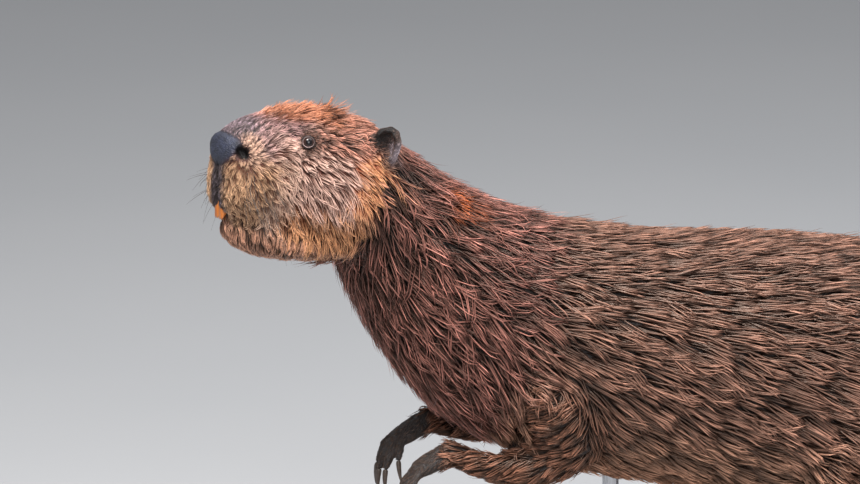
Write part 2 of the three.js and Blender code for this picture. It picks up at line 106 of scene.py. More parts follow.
# Each kind of coat: depth over the skin, length and width of a tuft (mm), layers of tufts, lift of the tips,
# how far tips draw together, width of a clump (mm), disorder (radians), how much painted shade darkens a
# clump at its edge, colour at the root and at the tip.
COATS = {
    "nose": (0, 0, 0, 0, 0, 0, 0, 0, 0, (38, 42, 58), (70, 68, 80)),
    # lip: the dark cleft below the nose, partly painted shadow on the front of the muzzle
    "lip": (0.9, 5, 0.5, 4, 0.1, 0.5, 2.6, 0.3, 0.8, (26, 22, 25), (100, 90, 96)),
    "snout": (1.3, 6, 0.4, 4, 0.1, 0.5, 2.2, 0.26, 0.6, (46, 32, 34), (178, 142, 140)),
    "bridge": (1, 5, 0.45, 3.6, 0.12, 0.5, 2.6, 0.26, 0.6, (28, 26, 32), (124, 107, 114)),
    "rim": (1.3, 6, 0.4, 4, 0.12, 0.5, 2.2, 0.26, 0.45, (66, 38, 30), (246, 202, 176)),
    # warm lower muzzle: partly the fur's own colour, partly painted warm light reflected from below
    "pad": (1.8, 11, 0.5, 4, 0.18, 0.85, 3.2, 0.36, 0.9, (78, 33, 13), (255, 206, 164)),
    "muzzle": (2.4, 15, 0.52, 4, 0.16, 0.88, 3.4, 0.32, 0.65, (92, 46, 30), (255, 216, 192)),
    "forehead": (1.8, 8.5, 0.5, 4, 0.16, 0.6, 3, 0.28, 0.6, (40, 28, 28), (172, 132, 130)),
    "crown": (5.5, 14, 0.7, 4.5, 0.4, 0.75, 4.5, 0.3, 0.45, (92, 40, 24), (198, 130, 98)),
    "crest": (5.5, 23, 0.9, 4.5, 0.75, 0.95, 7, 0.5, 1.3, (48, 20, 11), (196, 116, 74)),
    "temple": (4, 22, 0.75, 4, 0.1, 0.9, 4.5, 0.2, 0.9, (46, 22, 16), (222, 156, 134)),
    "cheek": (4.5, 27, 0.75, 4, 0.1, 0.92, 4.4, 0.2, 0.65, (84, 44, 34), (255, 212, 194)),
    # more orange low on the cheek: partly the fur's own colour, partly painted warm light reflected from
    # below
    "cheek_low": (5, 23, 0.75, 4, 0.12, 0.9, 4.2, 0.24, 0.75, (96, 44, 18), (255, 188, 138)),
    "rear": (5.5, 18, 0.7, 4.5, 0.2, 0.7, 3.8, 0.26, 0.3, (140, 62, 32), (255, 188, 138)),
    "chin": (3.5, 12, 0.7, 4, 0.1, 0.7, 4, 0.22, 0.6, (54, 33, 24), (204, 152, 126)),
    "eye": (0.6, 5, 0.42, 3.4, 0.05, 0.3, 1.5, 0.15, 0.4, (34, 22, 19), (104, 72, 62)),
    "ear": (0.3, 3.5, 0.5, 2.5, 0.05, 0.3, 2, 0.2, 0.4, (22, 16, 15), (92, 74, 70)),
    "ear_inside": (0, 3.5, 0.35, 1.2, 0.04, 0.1, 1.5, 0.15, 0, (112, 100, 106), (176, 162, 168)),
    # painted shade: nearly black deep in the front of the ear's hollow
    "ear_hollow_shade": (0, 3, 0.4, 0.6, 0.04, 0.1, 1.5, 0.2, 0, (12, 8, 9), (40, 32, 33)),
    "neck": (9, 38, 1.2, 4.5, 0.1, 0.95, 7, 0.32, 1.3, (14, 6, 4), (148, 98, 87)),
    "rust": (9, 20, 0.9, 4.5, 0.2, 0.6, 6, 0.45, 0.7, (52, 16, 4), (180, 88, 34)),
    "back": (10, 38, 1.8, 5, 0.05, 0.75, 10, 0.15, 0.7, (26, 14, 10), (130, 94, 79)),
    "belly": (9, 28, 2, 4.5, 0.05, 0.7, 11, 0.15, 0.7, (44, 27, 19), (160, 120, 98)),
    "rump": (6, 24, 1.7, 5, 0.05, 0.75, 9, 0.15, 0.75, (24, 13, 9), (132, 94, 76)),
    "leg": (5, 20, 1.4, 4.5, 0.05, 0.7, 8, 0.15, 0.7, (28, 16, 11), (126, 86, 68)),
    "paw": (0.3, 4.5, 0.6, 0.5, 0.04, 0.2, 2, 0.15, 0.4, (40, 33, 31), (92, 73, 64)),
    "tail": (0, 0, 0, 0, 0, 0, 0, 0, 0, (46, 42, 42), (78, 72, 74)),
}
VALUES = ["depth", "length", "width", "layers", "lift", "draw", "clump", "mess", "edge_shade", "root", "tip"]
KINDS = list(COATS)

rng = np.random.default_rng(7)


# ---------------------------------------------------------------- numbers
def smooth(value, low, high):
    """0 up to low, 1 from high, and a smooth step between."""
    t = np.clip((value - low) / (high - low), 0, 1)
    return t * t * (3 - 2 * t)


def unit(vectors):
    return vectors / np.maximum(np.linalg.norm(vectors, axis=-1, keepdims=True), 1e-12)


def full_turn(count):
    """Angles spread evenly round a circle."""
    return np.linspace(0, 2 * math.pi, count, endpoint=False)


def centre(node):
    low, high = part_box(node)
    return (np.array(low) + np.array(high)) / 2


# ---------------------------------------------------------------- the head's own frame
LEFTWARD = np.array([math.cos(HEAD_YAW), math.sin(HEAD_YAW), 0])
BACKWARD = np.array(
    [
        -math.sin(HEAD_YAW) * math.cos(HEAD_PITCH),
        math.cos(HEAD_YAW) * math.cos(HEAD_PITCH),
        -math.sin(HEAD_PITCH),
    ]
)
UPWARD = np.cross(LEFTWARD, BACKWARD)
HEAD_AXES = np.array([LEFTWARD, BACKWARD, UPWARD])
NOSE_TIP = (centre("eye_left") + centre("eye_right")) / 2 - np.array([0, EYE_BACK, EYE_RISE]) @ HEAD_AXES


def to_head(points):
    """Columns: towards the left, back from the nose tip, and up, each in the head's own frame."""
    return (points - NOSE_TIP) @ HEAD_AXES.T


def from_head(*place):
    return NOSE_TIP + np.array(place) @ HEAD_AXES


# ---------------------------------------------------------------- meshes
def link(name, mesh):
    obj = bpy.data.objects.new(name, mesh)
    bpy.context.scene.collection.objects.link(obj)
    return obj


def polygons(name, points, faces):
    """An object from arrays of points and of faces that all have the same number of corners."""
    mesh = bpy.data.meshes.new(name)
    count, corners = faces.shape
    mesh.vertices.add(len(points))
    mesh.vertices.foreach_set("co", points.astype(np.float32).ravel())
    mesh.loops.add(count * corners)
    mesh.loops.foreach_set("vertex_index", faces.astype(np.int32).ravel())
    mesh.polygons.add(count)
    mesh.polygons.foreach_set("loop_start", np.arange(0, count * corners, corners, dtype=np.int32))
    mesh.update(calc_edges=True)
    mesh.shade_smooth()
    return link(name, mesh)


def copies(faces, count, corners):
    """The faces of many like pieces in one mesh, where each piece has its own corners."""
    return (faces[None] + np.arange(count)[:, None, None] * corners).reshape(-1, faces.shape[1])


def read_points(mesh):
    points = np.empty(len(mesh.vertices) * 3, dtype=np.float32)
    mesh.vertices.foreach_get("co", points)
    return points.reshape(-1, 3).astype(float)


def read_triangles(mesh):
    mesh.calc_loop_triangles()
    corners = np.empty(len(mesh.loop_triangles) * 3, dtype=np.int32)
    mesh.loop_triangles.foreach_get("vertices", corners)
    return corners.reshape(-1, 3)


def refinish(obj, material):
    obj.data.materials.clear()
    obj.data.materials.append(material)


def modified(obj, kind, **settings):
    """Applies one modifier."""
    modifier = obj.modifiers.new(kind.lower(), kind)
    for key, value in settings.items():
        setattr(modifier, key, value)
    graph = bpy.context.evaluated_depsgraph_get()
    mesh = bpy.data.meshes.new_from_object(obj.evaluated_get(graph))
    obj.modifiers.clear()
    obj.data = mesh
    return obj


def welded(points, triangles):
    """Merges points that share a place."""
    places, index = np.unique(np.round(points, 6), axis=0, return_inverse=True)
    return places, index.reshape(-1)[triangles]


def vertex_normals(points, triangles):
    a, b, c = (points[triangles[:, i]] for i in range(3))
    face = np.cross(b - a, c - a)
    normals = np.zeros_like(points)
    for i in range(3):
        for axis in range(3):
            normals[:, axis] += np.bincount(triangles[:, i], face[:, axis], len(points))
    return unit(normals)


def shells(name, nodes, swell):
    """Copies of CAD nodes in one mesh, each a little swollen so that they overlap."""
    all_points, all_triangles, start = [], [], 0
    for node in nodes:
        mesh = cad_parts[node].data
        points, triangles = welded(read_points(mesh), read_triangles(mesh))
        all_points.append(points + vertex_normals(points, triangles) * swell)
        all_triangles.append(triangles + start)
        start += len(points)
    return polygons(name, np.concatenate(all_points), np.concatenate(all_triangles))


class Net:
    """Spreads values over a mesh along its edges."""

    def __init__(self, triangles, count):
        pairs = np.concatenate([triangles[:, [0, 1]], triangles[:, [1, 2]], triangles[:, [2, 0]]])
        self.start = np.concatenate([pairs[:, 0], pairs[:, 1]])
        self.end = np.concatenate([pairs[:, 1], pairs[:, 0]])
        self.count = count
        self.degree = np.maximum(np.bincount(self.start, minlength=count), 1)

    def around(self, values):
        """The mean of the neighbours of each point."""
        if values.ndim == 1:
            return np.bincount(self.start, values[self.end], self.count) / self.degree
        return np.stack([self.around(values[:, i]) for i in range(values.shape[1])], axis=1)

    def spread(self, values, times, share=1.0):
        share = np.asarray(share)
        if values.ndim == 2 and share.ndim == 1:
            share = share[:, None]
        for _ in range(times):
            values = values + (self.around(values) - values) * share
        return values

    def polished(self, points, times):
        """Smoother, but no smaller: each step in is followed by a step out."""
        for _ in range(times):
            points = self.spread(self.spread(points, 1, 0.5), 1, -0.52)
        return points


# ---------------------------------------------------------------- skin
def body_form():
    """The whole animal without facets: a coarse smooth body joined with the crisper head, paws and tail."""
    crisp_nodes = [node for node in FLESH if node not in ("neck", "chest", "trunk", "tail_base")]
    body = modified(shells("body_form", FLESH, 0.6 * MM), "REMESH", mode="VOXEL", voxel_size=BODY_VOXEL)
    modified(body, "SMOOTH", factor=0.5, iterations=10)
    crisp = shells("crisp_form", crisp_nodes, 0.3 * MM)
    body_points, crisp_points = read_points(body.data), read_points(crisp.data)
    triangles = [read_triangles(body.data), read_triangles(crisp.data) + len(body_points)]
    form = polygons("skin", np.concatenate([body_points, crisp_points]), np.concatenate(triangles))
    for obj in (body, crisp):
        bpy.data.objects.remove(obj)
    return modified(form, "REMESH", mode="VOXEL", voxel_size=SKIN_VOXEL)


def node_labels(points):
    """For each point, the index in FLESH of the CAD node that it is nearest to."""
    corners, triangles, owners, start = [], [], [], 0
    for index, node in enumerate(FLESH):
        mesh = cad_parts[node].data
        faces = read_triangles(mesh)
        corners.append(read_points(mesh))
        triangles.append(faces + start)
        owners.append(np.full(len(faces), index))
        start += len(corners[-1])
    tree = BVHTree.FromPolygons(np.concatenate(corners).tolist(), np.concatenate(triangles).tolist())
    owner = np.concatenate(owners)
    return owner[[tree.find_nearest(Vector(point))[2] for point in points]]


def part_of(labels, *parts):
    """Which points belong to nodes whose names start with one of the parts."""
    chosen = [index for index, node in enumerate(FLESH) if node.startswith(parts)]
    return np.isin(labels, chosen)


def thinned(form, labels):
    """Fewer faces on the plain parts of the body and on the hind feet, all of them kept on the head, jaw,
    nose, ears and forepaws.
    """
    group = form.vertex_groups.new(name="plain")
    group.add(np.flatnonzero(part_of(labels, *COARSE)).tolist(), 1.0, "REPLACE")
    ratio = SKIN_FACES / (2 * len(form.data.polygons))
    modified(form, "TRIANGULATE")
    return modified(form, "DECIMATE", ratio=ratio, vertex_group="plain")


def coat_shares(points, normals, labels):
    """How much of each kind of coat every point carries."""
    side, back, rise = (to_head(points) / MM).T
    side = abs(side)
    front = 1 - smooth(back, 26, 40)
    top = smooth(rise, 27, 33)
    low = 1 - smooth(rise, -40, -24)
    rust = np.hypot((back - RUST[0]) / 1.8, rise - RUST[1])
    rim = np.hypot(back - NOSTRIL[0] - 5, (rise - NOSTRIL[1] - 2) / 1.3)
    outward = normals @ LEFTWARD * np.sign(to_head(points)[:, 0])
    lobe = smooth(back, 125, 131) * (1 - smooth(rise, 18, 26)) * smooth(outward, -0.3, 0.2)
    shares = np.zeros((len(points), len(KINDS)))
    shares[:, KINDS.index("cheek")] = 1
    for kind, mask in [
        # partly painted warm light reflected from below
        ("cheek_low", low * smooth(back, 30, 48)),
        ("rear", smooth(back, 92, 102) * (1 - smooth(rise, 10, 18)) * smooth(rise, -44, -24)),
        ("temple", smooth(rise, 8, 16) * smooth(back, 60, 74)),
        ("muzzle", (1 - smooth(back, 40, 56)) * (1 - smooth(rise, -4, 8))),
        ("forehead", smooth(rise, 14, 22) * (1 - smooth(back, 56, 70))),
        ("crown", top * smooth(back, 22, 32) * (1 - 0.85 * smooth(back, 84, 98))),
        ("crest", top * np.exp(-(((back - 84) / 9) ** 2) - (side / 18) ** 2)),
        ("snout", front * smooth(rise, -8, 2) * (1 - smooth(rise, 16, 24))),
        # partly painted warm light reflected from below
        ("pad", front * (1 - smooth(rise, -8, 2))),
        ("bridge", (1 - smooth(back, 18, 30)) * smooth(rise, 9, 15) * (1 - smooth(side, 17, 25))),
        ("rim", (1 - smooth(rim, 5, 11)) * smooth(side, 14, 19)),
        # the dark cleft below the nose, partly painted shadow on the front of the muzzle
        ("lip", (1 - smooth(side, 8, 14)) * (1 - smooth(back, 12, 18)) * (1 - smooth(rise, -14, -8))),
        ("eye", 1 - smooth(from_nearest("eye", points) / MM, 8.5, 14)),
        # a dark patch above the eye: darker fur with painted shadow under the brow
        ("eye", 0.9 * np.exp(-(((back - 61) / 8) ** 2) - ((rise - 24) / 3.5) ** 2) * (side > 15)),
        ("chin", part_of(labels, "jaw")),
        ("neck", np.maximum(part_of(labels, "neck"), smooth(back, 108, 121) * (1 - smooth(rise, -6, 4)))),
        ("rust", part_of(labels, "neck", "chest") * (1 - smooth(rust, 5, 13)) * smooth(side, 5, 15)),
        ("back", part_of(labels, "chest", "trunk")),
        ("belly", part_of(labels, "chest", "trunk") * (1 - smooth(normals[:, 2], -0.6, -0.1))),
        ("rump", part_of(labels, "tail_base")),
        ("leg", part_of(labels, "foreleg", "hind_leg")),
        ("nose", part_of(labels, "nose")),
        ("ear", part_of(labels, "ear")),
        ("ear_inside", part_of(labels, "ear") * lobe),
        # painted shade in the front of the ear's hollow
        ("ear_hollow_shade", part_of(labels, "ear") * smooth(outward, -0.3, 0.2) * (1 - smooth(back, 124, 129))),
        ("paw", part_of(labels, "forepaw", "hind_foot")),
        ("tail", part_of(labels, "tail") & ~part_of(labels, "tail_base")),
    ]:
        shares *= 1 - mask[:, None]
        shares[:, KINDS.index(kind)] += mask
    return shares


def linear(colour):
    """Linear colour from the 0 to 255 steps of a screen."""
    steps = np.array(colour) / 255
    return np.where(steps <= 0.04045, steps / 12.92, ((steps + 0.055) / 1.055) ** 2.4)


def from_nearest(part, points):
    """Distance from the middle of the nearer of two CAD nodes, such as the two eyes."""
    return np.min([np.linalg.norm(points - centre(f"{part}_{side}"), axis=1) for side in SIDES], axis=0)


def from_nostril(points):
    """Distance in mm from the axis of the nostrils, which starts 12 mm to each side of the middle."""
    side, back, rise = (to_head(points) / MM).T
    beside = np.hypot(back - NOSTRIL[0], 0.9 * (rise - NOSTRIL[1]))
    return np.hypot(beside, np.maximum(12 - abs(side), 0))


def sculpt(points, normals):
    """The nostrils, the cleft of the lip, the brows and the folds of the face, as moves along the normals."""
    side, back, rise = (to_head(points) / MM).T
    way = np.sign(side)
    move = np.zeros(len(points))
    across = from_nostril(points)
    move -= 7 * np.exp(-((across / 4.2) ** 6))
    move += 1.0 * np.exp(-(((across - 6.6) / 1.6) ** 2))
    cleft = smooth(-rise, 8, 13) * (1 - smooth(back, 8, 14)) * (rise > -60)
    move -= 2.0 * cleft * np.exp(-((side / 1.9) ** 2))
    brow = np.exp(-(((back - 62) / 13) ** 2) - ((rise - 25) / 4.5) ** 2) * (abs(side) > 15)
    below = np.exp(-(((back - 60) / 12) ** 2) - ((rise - 5) / 3.5) ** 2) * (abs(side) > 15)
    move += 1.4 * brow + 0.7 * below
    folds = np.sin(0.42 * (back * 0.75 + rise) + 1.1 * way)
    folds *= smooth(back, 40, 60) * (1 - smooth(back, 130, 140))
    move += 0.35 * folds
    return points + normals * (move * MM * (back < HEAD_REACH))[:, None]


class Skin:
    """The skin's surface and, at each of its points, the coat that grows there and the way it lies."""

    def __init__(self):
        form = body_form()
        form = thinned(form, node_labels(read_points(form.data)))
        points, self.triangles = read_points(form.data), read_triangles(form.data)
        bpy.data.objects.remove(form)
        self.net = Net(self.triangles, len(points))
        self.labels = node_labels(points)
        self.ear = part_of(self.labels, "ear")
        self.beside_ear = smooth(self.net.spread(self.ear.astype(float), 10) * ~self.ear, 0.01, 0.2)
        points = self.net.polished(points, 14)
        normals = vertex_normals(points, self.triangles)
        self.shares = self.blended_shares(points, normals)
        self.depth = self.coat_depth()
        self.from_nostril = from_nostril(points)
        wide_normals = unit(self.net.spread(normals, 6))
        self.points = sculpt(points - wide_normals * self.depth[:, None], normals)
        self.reach = self.tuft_reach()
        self.normals = vertex_normals(self.points, self.triangles)
        self.tree = BVHTree.FromPolygons(self.points.tolist(), self.triangles.tolist())

    def blended_shares(self, points, normals):
        """The shares of the kinds of coat, blended where they meet, with dark fur high beside the ears."""
        furry = np.where(self.ear, 0.05, 0.5)
        shares = self.net.spread(coat_shares(points, normals, self.labels), 9, furry)
        dark = 0.7 * self.beside_ear * smooth(to_head(points)[:, 2] / MM, -2, 8)
        shares = shares * (1 - dark)[:, None]
        shares[:, KINDS.index("ear")] += dark
        return shares / shares.sum(axis=1, keepdims=True)

    def coat_depth(self):
        """How far the skin lies under the coat: nothing on ears, nose and the tail's paddle."""
        plain = part_of(self.labels, "ear", "nose", "tail") & ~part_of(self.labels, "tail_base")
        return self.net.spread(self.of_kind("depth"), 30) * ~plain * MM

    def tuft_reach(self):
        """Length of a tuft at each point, shorter round nostrils and eyes and in front of the ears."""
        reach = self.of_kind("length") * (0.5 + 0.5 * smooth(self.from_nostril, 6, 13)) * MM
        reach = np.minimum(reach, 0.75 * (from_nearest("eye", self.points) - EYE_CLEAR))
        before_ear = ~self.ear & (to_head(self.points)[:, 1] < EAR_BACK)
        to_ear = np.maximum(from_nearest("ear", self.points) - EAR_CLEAR, 3 * MM)
        return np.where(before_ear, np.minimum(reach, to_ear), reach)

    def bald(self):
        """Where nothing grows: in the mouth, at the eyes and in the nostrils."""
        mouth = from_head(*MOUTH)
        inside = ((mouth - self.points) * self.normals).sum(axis=1) > 0
        inside &= np.linalg.norm((self.points - mouth) @ HEAD_AXES.T / MOUTH_SIZE, axis=1) < 1
        near_eye = from_nearest("eye", self.points) < LID_EDGE
        return inside | near_eye | (self.from_nostril < NOSTRIL_EDGE)

    def of_kind(self, value):
        """A value of the coats at each point. The last two are colours."""
        place = VALUES.index(value)
        column = [COATS[kind][place] for kind in KINDS]
        if value in ("root", "tip"):
            column = [linear(colour) for colour in column]
        return self.shares @ np.array(column)

    def nearest(self, places):
        """The nearest places on the skin and the normals there."""
        found = [self.tree.find_nearest(Vector(place)) for place in places]
        faces = np.array([hit[2] for hit in found])
        normals = self.normals[self.triangles[faces]].mean(axis=1)
        return np.array([hit[0] for hit in found]), unit(normals)

    def scatter(self, amount):
        """Random places on the skin: amount is how many there are to a square metre at each point."""
        a, b, c = (self.points[self.triangles[:, i]] for i in range(3))
        area = np.linalg.norm(np.cross(b - a, c - a), axis=1) / 2
        total = np.cumsum(area * amount[self.triangles].mean(axis=1))
        count = int(total[-1])
        faces = np.searchsorted(total, (np.arange(count) + rng.random(count)) * total[-1] / count)
        u, v = rng.random((2, count))
        beyond = u + v > 1
        u, v = np.where(beyond, 1 - u, u), np.where(beyond, 1 - v, v)
        return np.minimum(faces, len(area) - 1), np.stack([1 - u - v, u, v], axis=1)


# ---------------------------------------------------------------- lie of the coat
def limb_direction(near, far):
    return unit(centre(far) - centre(near))


def waves(points, size, seed):
    """Smooth random waves about size across, between about -1 and 1."""
    source = np.random.default_rng(seed)
    total = np.zeros(len(points))
    for _ in range(6):
        total += np.sin(points @ (unit(source.normal(size=3)) * TURN / size) + source.random() * TURN)
    return total / 3


def lie_of_coat(points, normals, labels, net):
    """Which way the coat lies at each point, along the surface."""
    side, back, rise = (to_head(points) / MM).T
    fan = unit(np.stack([0 * side, back - NOSTRIL[0], rise - NOSTRIL[1]], axis=1))
    droop = np.radians(np.interp(rise, *np.transpose(DROOP)))
    flow = np.stack([0.12 * np.sign(side), np.cos(droop), -np.sin(droop)], axis=1)
    near = 1 - smooth(np.hypot(back - NOSTRIL[0], rise - NOSTRIL[1]), 20, 46)[:, None]
    lie = unit(fan * near + flow * (1 - near)) @ HEAD_AXES
    body = part_of(labels, "neck", "chest", "trunk", "tail_base")
    slope = np.interp(points[:, 1], *np.transpose(BACK_SLOPE)) - 0.25 * abs(normals[:, 0])
    lie[body] = unit(np.stack([0 * slope, 1 + 0 * slope, slope], axis=1))[body]
    for side_name in SIDES:
        for part, near_part, far in [
            ("foreleg", "foreleg", f"forepaw_{side_name}"),
            ("forepaw", "forepaw", f"claw_forepaw_{side_name}_3"),
            ("hind_leg", "hind_leg", f"hind_foot_{side_name}"),
            ("hind_foot", "hind_leg", f"claw_hind_foot_{side_name}_3"),
        ]:
            chosen = part_of(labels, f"{part}_{side_name}")
            lie[chosen] = limb_direction(f"{near_part}_{side_name}", far)
    lie[part_of(labels, "ear")] = unit(UPWARD * 0.8 + BACKWARD * 0.6)
    flat = lie - normals * (lie * normals).sum(axis=1, keepdims=True)
    return unit(net.spread(flat, 8, 0.6))


# ---------------------------------------------------------------- tufts
def turned(vectors, normals, angles):
    """Vectors along the surface, turned about the normal."""
    cos, sin = np.cos(angles)[:, None], np.sin(angles)[:, None]
    return vectors * cos + np.cross(normals, vectors) * sin


def nearest_clump(places, clumps):
    tree = KDTree(len(clumps))
    for index, place in enumerate(clumps):
        tree.insert(place, index)
    tree.balance()
    return np.array([tree.find(place)[1] for place in places])


class Sown:
    """Random places on the skin, where the values of its points can be read."""

    def __init__(self, amount):
        self.faces, self.weights = skin.scatter(amount)
        self.places = self.read(skin.points)
        self.count = len(self.places)

    def read(self, values):
        corners = values[skin.triangles[self.faces]]
        return np.einsum("ij,ij...->i...", self.weights, corners)

    def coat(self, value):
        return self.read(skin.of_kind(value))


def sow_tufts():
    """The roots of the tufts, as many as the layers of the coat need, and the middles of the clumps."""
    length, width = skin.reach, skin.of_kind("width") * MM
    amount = TUFTS * skin.of_kind("layers") / np.maximum(length * width, 1e-7) * (length > SHORTEST)
    return Sown(amount * ~skin.bald()), Sown(1 / np.maximum(skin.of_kind("clump") * MM, MM) ** 2)


def flat_paths(roots, clumps, home, lie):
    """Where each tuft would run on flat skin: its own way, drawn more and more to the path of its clump."""
    mess = roots.read(skin.of_kind("mess") * (1 - skin.beside_ear))
    reach = roots.read(skin.reach) * rng.normal(1, 0.14, clumps.count)[home]
    clump_draws = rng.normal(0, (0.8, 0.5, 0.8), (clumps.count, 3))
    clump_turn, clump_bend, clump_bearing = clump_draws[home].T * mess
    own_turn = rng.normal(0, 0.5, roots.count) * mess
    swirl = 0.2 * waves(roots.places, 0.03, 1) + 0.12 * waves(roots.places, 0.011, 2)
    up = unit(roots.read(skin.normals))
    bearing = turned(unit(roots.read(lie)), up, clump_turn + own_turn + swirl)
    clump_lie = turned(unit(clumps.read(lie))[home], up, clump_bearing + swirl)
    own_reach = reach * rng.normal(1, 0.12, roots.count)
    path = STEPS[:, None]
    own = roots.places[:, None] + (bearing * own_reach[:, None])[:, None] * path
    shared = clumps.places[home][:, None] + (clump_lie * reach[:, None])[:, None] * path
    drawn = (roots.coat("draw") * rng.uniform(0.75, 1.1, roots.count))[:, None] * STEPS**1.2
    bend = np.cross(up, bearing) * (clump_bend * reach)[:, None]
    return own + (shared - own) * drawn[:, :, None] + bend[:, None] * path**2, reach


def toned(colours, tone):
    """Colours made paler or darker, with their hue kept where they would pass the palest."""
    made = colours * tone
    return made / np.maximum(made.max(axis=-1, keepdims=True) / PALEST, 1)


class Tufts:
    """Every tuft of the coat, as arrays: its path, width, colours and the node that it grows on."""

    def __init__(self, lie):
        roots, clumps = sow_tufts()
        home = nearest_clump(roots.places, clumps.places)
        flat, reach = flat_paths(roots, clumps, home, lie)
        off_middle = np.linalg.norm(roots.places - clumps.places[home], axis=1)
        off_middle = np.clip(off_middle / np.maximum(roots.coat("clump") * MM / 2, MM), 0, 1.2)
        stray = rng.random(roots.count) < STRAYS
        layer = rng.uniform(0.72, 1, roots.count) * (1 - 0.35 * off_middle**2)
        lift = roots.coat("lift") * rng.random(roots.count) + 0.16 * stray
        height = (roots.read(skin.depth) * layer)[:, None] * RISE + (lift * reach)[:, None] * STEPS**2
        height[:, 0] -= 0.3 * MM
        height[:, 1:] = np.maximum(height[:, 1:], 0.25 * MM)
        on_skin, up = skin.nearest(flat.reshape(-1, 3))
        self.up = up.reshape(flat.shape)
        self.paths = on_skin.reshape(flat.shape) + self.up * height[:, :, None]
        self.roots = roots.places
        self.labels = skin.labels[skin.triangles[roots.faces, np.argmax(roots.weights, axis=1)]]
        self.width = roots.coat("width") * MM / TUFTS**0.5 * np.where(stray, 0.6, 1)
        self.root_colour, self.tip_colour = roots.coat("root"), roots.coat("tip")
        unevenness = 0.16 + 0.5 * roots.coat("mess")
        tone = rng.normal(0, 1, clumps.count)[home] * unevenness + rng.normal(0, 0.15, roots.count)
        patchy = 0.15 * waves(self.roots, 0.02, 3)
        # Painted shade between the locks: a tuft is darker the further it stands from its clump's middle.
        self.tone = np.exp(tone + patchy + 0.25 - roots.coat("edge_shade") * off_middle**2)

    def chosen(self, picked, kept):
        """The tufts of one piece, with the steps that are kept."""
        part = object.__new__(Tufts)
        for key, value in vars(self).items():
            setattr(part, key, value[picked])
        part.paths, part.up = part.paths[:, kept], part.up[:, kept]
        part.kept = kept
        return part

    def colours(self):
        """Colour at each corner of each tuft: dark at the root, partly the underfur's own colour and partly
        painted shade deep in the coat, pale towards the tip.
        """
        share = smooth(STEPS[self.kept], 0.08, 0.9)[:, None]
        pale = toned(self.tip_colour, self.tone[:, None])[:, None]
        per_step = self.root_colour[:, None] * (1 - share) + pale * share
        return np.concatenate([np.repeat(per_step[:, :-1], 3, axis=1), per_step[:, -1:]], axis=1)

    def corners(self):
        """Three corners round the path at each step, and one at the tip."""
        ahead = unit(np.gradient(self.paths, axis=1))
        width = (self.width[:, None] * FULLNESS[self.kept[:-1]])[:, :, None]
        across = unit(np.cross(ahead, self.up))[:, :-1] * width / 2
        above = self.up[:, :-1] * width * 0.45
        middle = self.paths[:, :-1]
        rings = np.stack([middle - across, middle + across, middle + above], axis=2)
        rings = rings.reshape(len(rings), -1, 3)
        return np.concatenate([rings, self.paths[:, -1:]], axis=1)


def tuft_faces(rings):
    """Triangles of one closed tuft: its cap, the bands between its rings, and its point."""
    faces = [(0, 2, 1)]
    for ring in range(rings - 1):
        for corner in range(3):
            a, b = 3 * ring + corner, 3 * ring + (corner + 1) % 3
            faces += [(a, b, b + 3), (a, b + 3, a + 3)]
    last = 3 * (rings - 1)
    faces += [(last + corner, last + (corner + 1) % 3, last + 3) for corner in range(3)]
    return np.array(faces)


def unwrapped(places, origin, axis):
    """Places on a tube unrolled round an axis: once round and once along, both from 0 to 1."""
    beside = unit(np.cross(axis, [0, 0, 1]))
    above = np.cross(beside, axis)
    from_origin = places - origin
    round_it = np.arctan2(from_origin @ beside, from_origin @ above) / (2 * math.pi) + 0.5
    along = from_origin @ axis
    along = (along - along.min()) / max(np.ptp(along), 1e-6)
    return np.stack([round_it, along], axis=1) * (1 - PATCH)


def add_map(obj, places):
    """The map that the export bakes on, from one place for each vertex."""
    layer = obj.data.uv_layers.new(name="OFBake")
    corners = np.empty(len(obj.data.loops), dtype=np.int32)
    obj.data.loops.foreach_get("vertex_index", corners)
    layer.data.foreach_set("uv", places[corners].astype(np.float32).ravel())


def add_colours(obj, colours):
    layer = obj.data.color_attributes.new("Coat", "FLOAT_COLOR", "POINT")
    rows = np.concatenate([colours, np.ones((len(colours), 1))], axis=1)
    layer.data.foreach_set("color", rows.astype(np.float32).ravel())


def coat_piece(name, tufts, places):
    """One mesh of closed tufts."""
    corners = tufts.corners()
    count, per_tuft = corners.shape[:2]
    rings = per_tuft // 3
    faces = copies(tuft_faces(rings), count, per_tuft)
    obj = polygons(name, corners.reshape(-1, 3), faces)
    add_colours(obj, tufts.colours().reshape(-1, 3))
    step = np.arange(per_tuft) // 3 / rings
    within = np.stack([(np.arange(per_tuft) % 3) / 2, step], axis=1) * PATCH
    add_map(obj, (places[:, None] + within).reshape(-1, 2))
    return obj


def coat_groups():
    """Name of each part of the coat, the nodes it grows on, and a point and direction to unroll it round."""
    groups = [("head", ("head", "jaw"), NOSE_TIP, BACKWARD), ("ears", ("ear",), NOSE_TIP, BACKWARD)]
    groups += [(part, (part,), centre(part), np.array([0, 1.0, 0])) for part in ("neck", "chest", "trunk")]
    groups += [("rump", ("tail_base",), centre("tail_base"), np.array([0, 1.0, 0]))]
    for side in SIDES:
        for limb, foot in (("foreleg", "forepaw"), ("hind_leg", "hind_foot")):
            nodes = (f"{limb}_{side}", f"{foot}_{side}")
            groups.append((f"{limb}_{side}", nodes, centre(nodes[0]), limb_direction(*nodes)))
    return groups


def coat():
    """The coat in pieces: one or more for each part of the body."""
    tufts = Tufts(lie_of_coat(skin.points, skin.normals, skin.labels, skin.net))
    pieces = []
    for group, nodes, origin, axis in coat_groups():
        kept = ALL_STEPS if group == "head" else FEW_STEPS
        picked = np.flatnonzero(part_of(tufts.labels, *nodes) & (tufts.width > 0))
        places = unwrapped(tufts.roots[picked], origin, axis)
        order = np.argsort(places[:, 1], kind="stable")
        parts = max(1, math.ceil(len(order) / PIECE_TUFTS))
        for number, rows in enumerate(np.array_split(order, parts), 1):
            name = f"coat_{group}" + (f"_{number}" if parts > 1 else "")
            pieces.append(coat_piece(name, tufts.chosen(picked[rows], kept), places[rows]))
    return pieces


